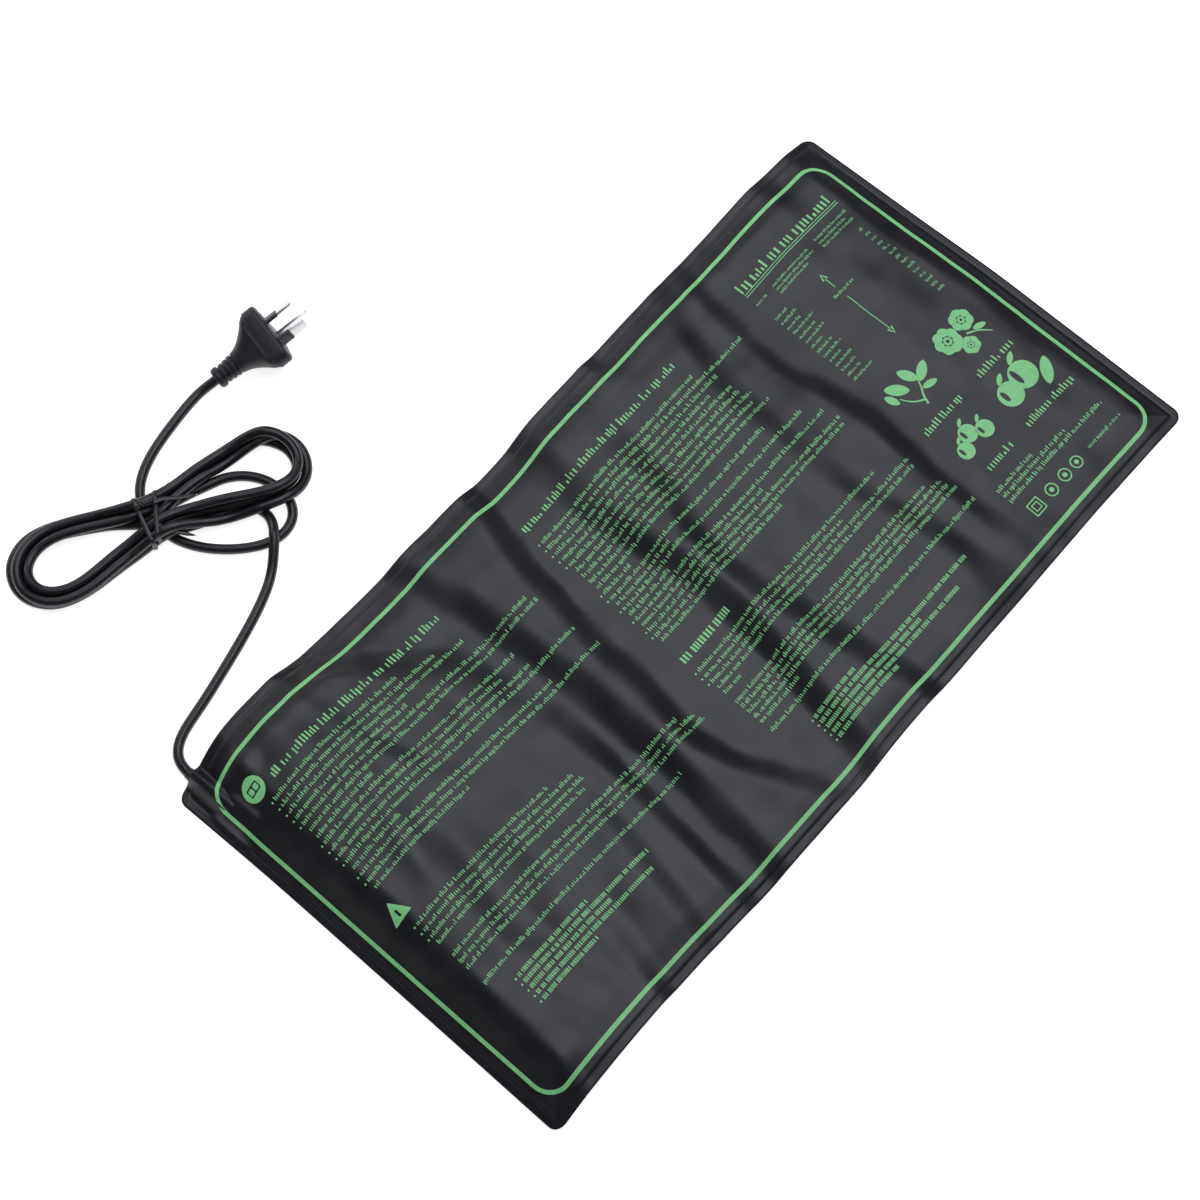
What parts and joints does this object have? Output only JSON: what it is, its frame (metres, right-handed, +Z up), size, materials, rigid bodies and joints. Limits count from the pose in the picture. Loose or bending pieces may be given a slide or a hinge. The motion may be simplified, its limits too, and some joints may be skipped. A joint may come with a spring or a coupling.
{
  "type": "seedling heat mat",
  "caption": "Thin flexible rectangular heating mat with a welded edge and printed green border, a hanked two-core lead and a moulded three-pin plug.",
  "frame": {"origin": "middle of the mat's underside, on the surface the mat lies on", "axes": "+X along the mat's length, away from the end where the lead enters; +Y across the mat towards the long edge that the lead leaves through; +Z up out of the printed face"},
  "size_m": [0.504, 0.415, 0.0288],
  "materials": {
    "pvc_sheet": "semi-gloss black PVC sheet with a fine leathery haze",
    "foam": "closed-cell polyethylene foam",
    "heater_film": "clear amber polyester film",
    "carbon_ink": "matt printed carbon ink",
    "copper_foil": "tinned copper foil strip",
    "rivet_metal": "tinned eyelet rivet",
    "core_brown": "brown PVC core insulation",
    "core_blue": "blue PVC core insulation",
    "pvc_moulded": "moulded black PVC",
    "green_ink": "screen-printed green ink, satin",
    "cord_jacket": "semi-gloss black PVC cord jacket",
    "tie_plastic": "black plastic-coated wire",
    "plug_pvc": "moulded black PVC, fine satin",
    "pin_metal": "nickel-plated brass blade",
    "sleeve_plastic": "black insulating sleeve"
  },
  "bodies": {
    "root": {"bottom_sheet": "pvc_sheet", "insulation_foam": "foam", "heater_base_film": "heater_film", "carbon_strips": "carbon_ink", "bus_bars": "copper_foil", "heater_cover_film": "heater_film", "terminal_rivets": "rivet_metal", "live_lead": "core_brown", "neutral_lead": "core_blue", "junction_block": "pvc_moulded", "cord_boot": "pvc_moulded", "top_sheet": "pvc_sheet", "printed_border": "green_ink", "cord_lead": "cord_jacket", "cord_hank": "cord_jacket", "cord_tail": "cord_jacket", "tie_wire": "tie_plastic", "plug_body": "plug_pvc", "plug_insert": "plug_pvc", "pin_active": "pin_metal", "pin_neutral": "pin_metal", "pin_earth": "pin_metal", "sleeve_active": "sleeve_plastic", "sleeve_neutral": "sleeve_plastic", "plug_core_active": "core_brown", "plug_core_neutral": "core_blue"}
  },
  "joints": []
}
